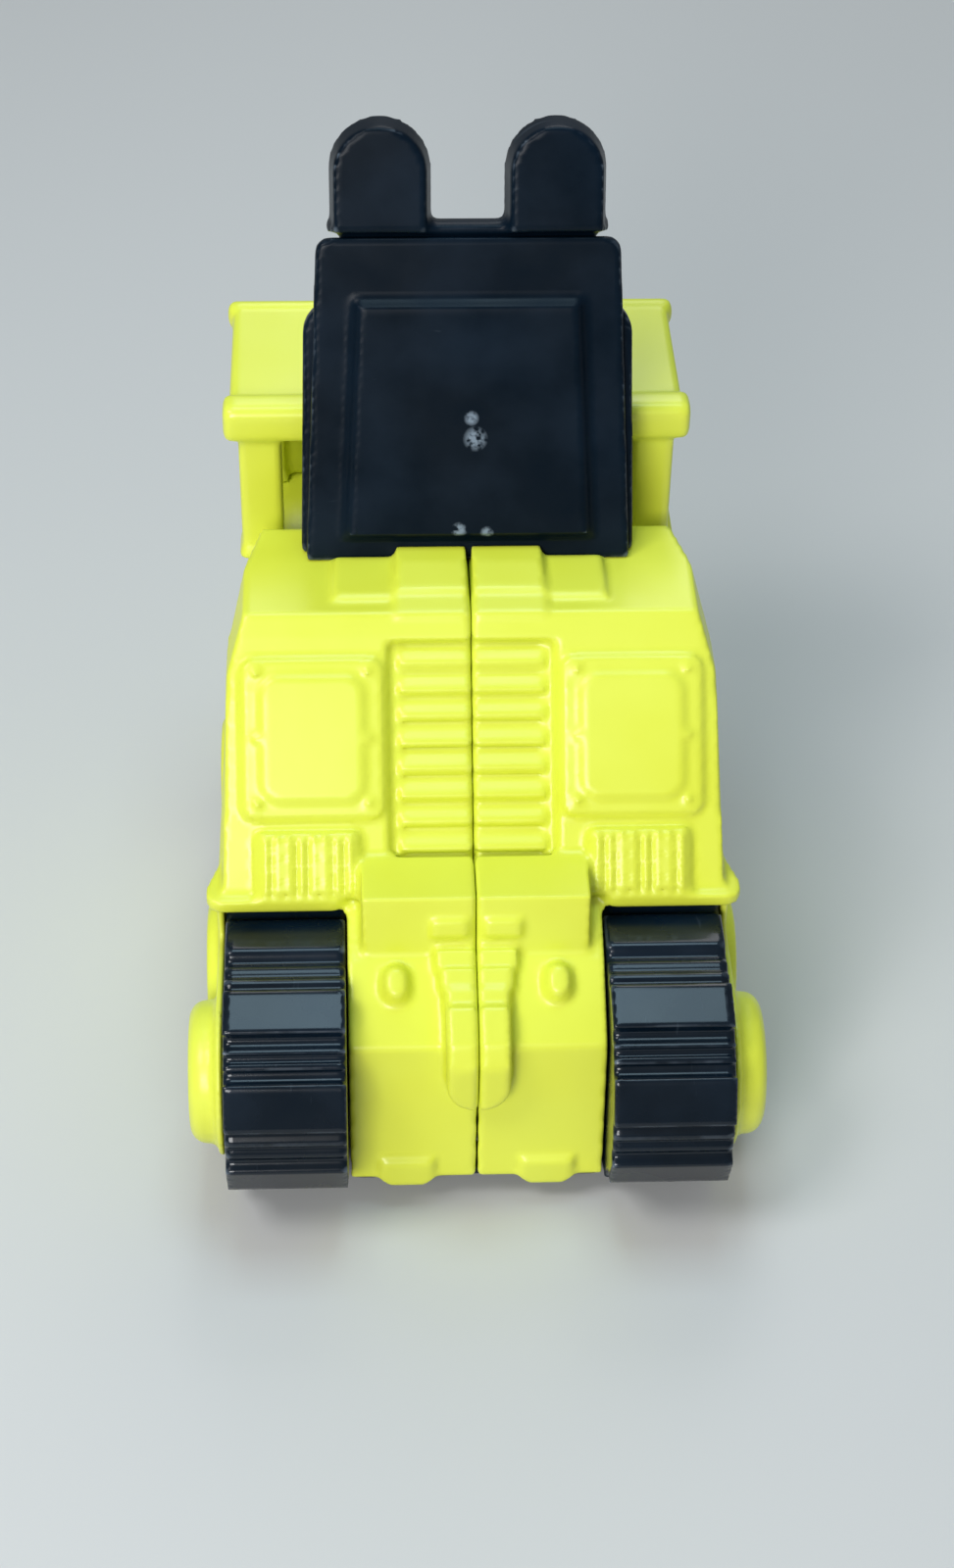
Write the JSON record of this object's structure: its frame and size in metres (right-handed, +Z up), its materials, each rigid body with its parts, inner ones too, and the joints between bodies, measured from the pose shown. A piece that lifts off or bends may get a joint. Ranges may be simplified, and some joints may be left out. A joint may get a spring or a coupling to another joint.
{
  "type": "toy bulldozer",
  "caption": "Free-rolling plastic toy bulldozer with moulded tracks, clamshell body, louvred rear, black cab tower, canopy and a lifting front blade",
  "frame": {"origin": "on the ground, under the middle of the bounding box", "axes": "+Z up, +Y forward to the blade, +X to the right seen from behind"},
  "size_m": [0.13, 0.1996, 0.2081],
  "materials": {
    "yellow_plastic": "glossy lemon-lime moulded plastic",
    "black_plastic": "glossy black moulded plastic, scuffed at the edges",
    "steel": "plain steel"
  },
  "bodies": {
    "chassis": {"body_left_half": "yellow_plastic", "body_right_half": "yellow_plastic", "base_plate": "black_plastic", "base_screws": "steel", "left_track": "black_plastic", "right_track": "black_plastic", "left_side_frame": "yellow_plastic", "right_side_frame": "yellow_plastic", "cab_back_panel": "black_plastic", "cab_tower": "black_plastic", "twin_uprights": "black_plastic", "tower_screws": "steel", "roll_over_canopy": "yellow_plastic", "driver_seat": "black_plastic", "control_console": "black_plastic", "arm_pivot_pin": "steel"},
    "rear_wheelset": {"rear_axle": "steel", "rear_wheel_left": "black_plastic", "rear_wheel_right": "black_plastic"},
    "front_wheelset": {"front_axle": "steel", "front_wheel_left": "black_plastic", "front_wheel_right": "black_plastic"},
    "blade_frame": {"blade": "yellow_plastic", "left_push_arm": "yellow_plastic", "right_push_arm": "yellow_plastic"}
  },
  "joints": [
    {"name": "rear_wheels_roll", "type": "hinge", "parent": "chassis", "child": "rear_wheelset", "pos_m": [0, -0.0744, 0.009], "axis": [1, 0, 0], "continuous": true},
    {"name": "front_wheels_roll", "type": "hinge", "parent": "chassis", "child": "front_wheelset", "pos_m": [0, 0.012, 0.009], "axis": [1, 0, 0], "continuous": true},
    {"name": "blade_lift", "type": "hinge", "parent": "chassis", "child": "blade_frame", "pos_m": [0, 0.038, 0.026], "axis": [1, 0, 0], "range_deg": [0, 30]}
  ]
}
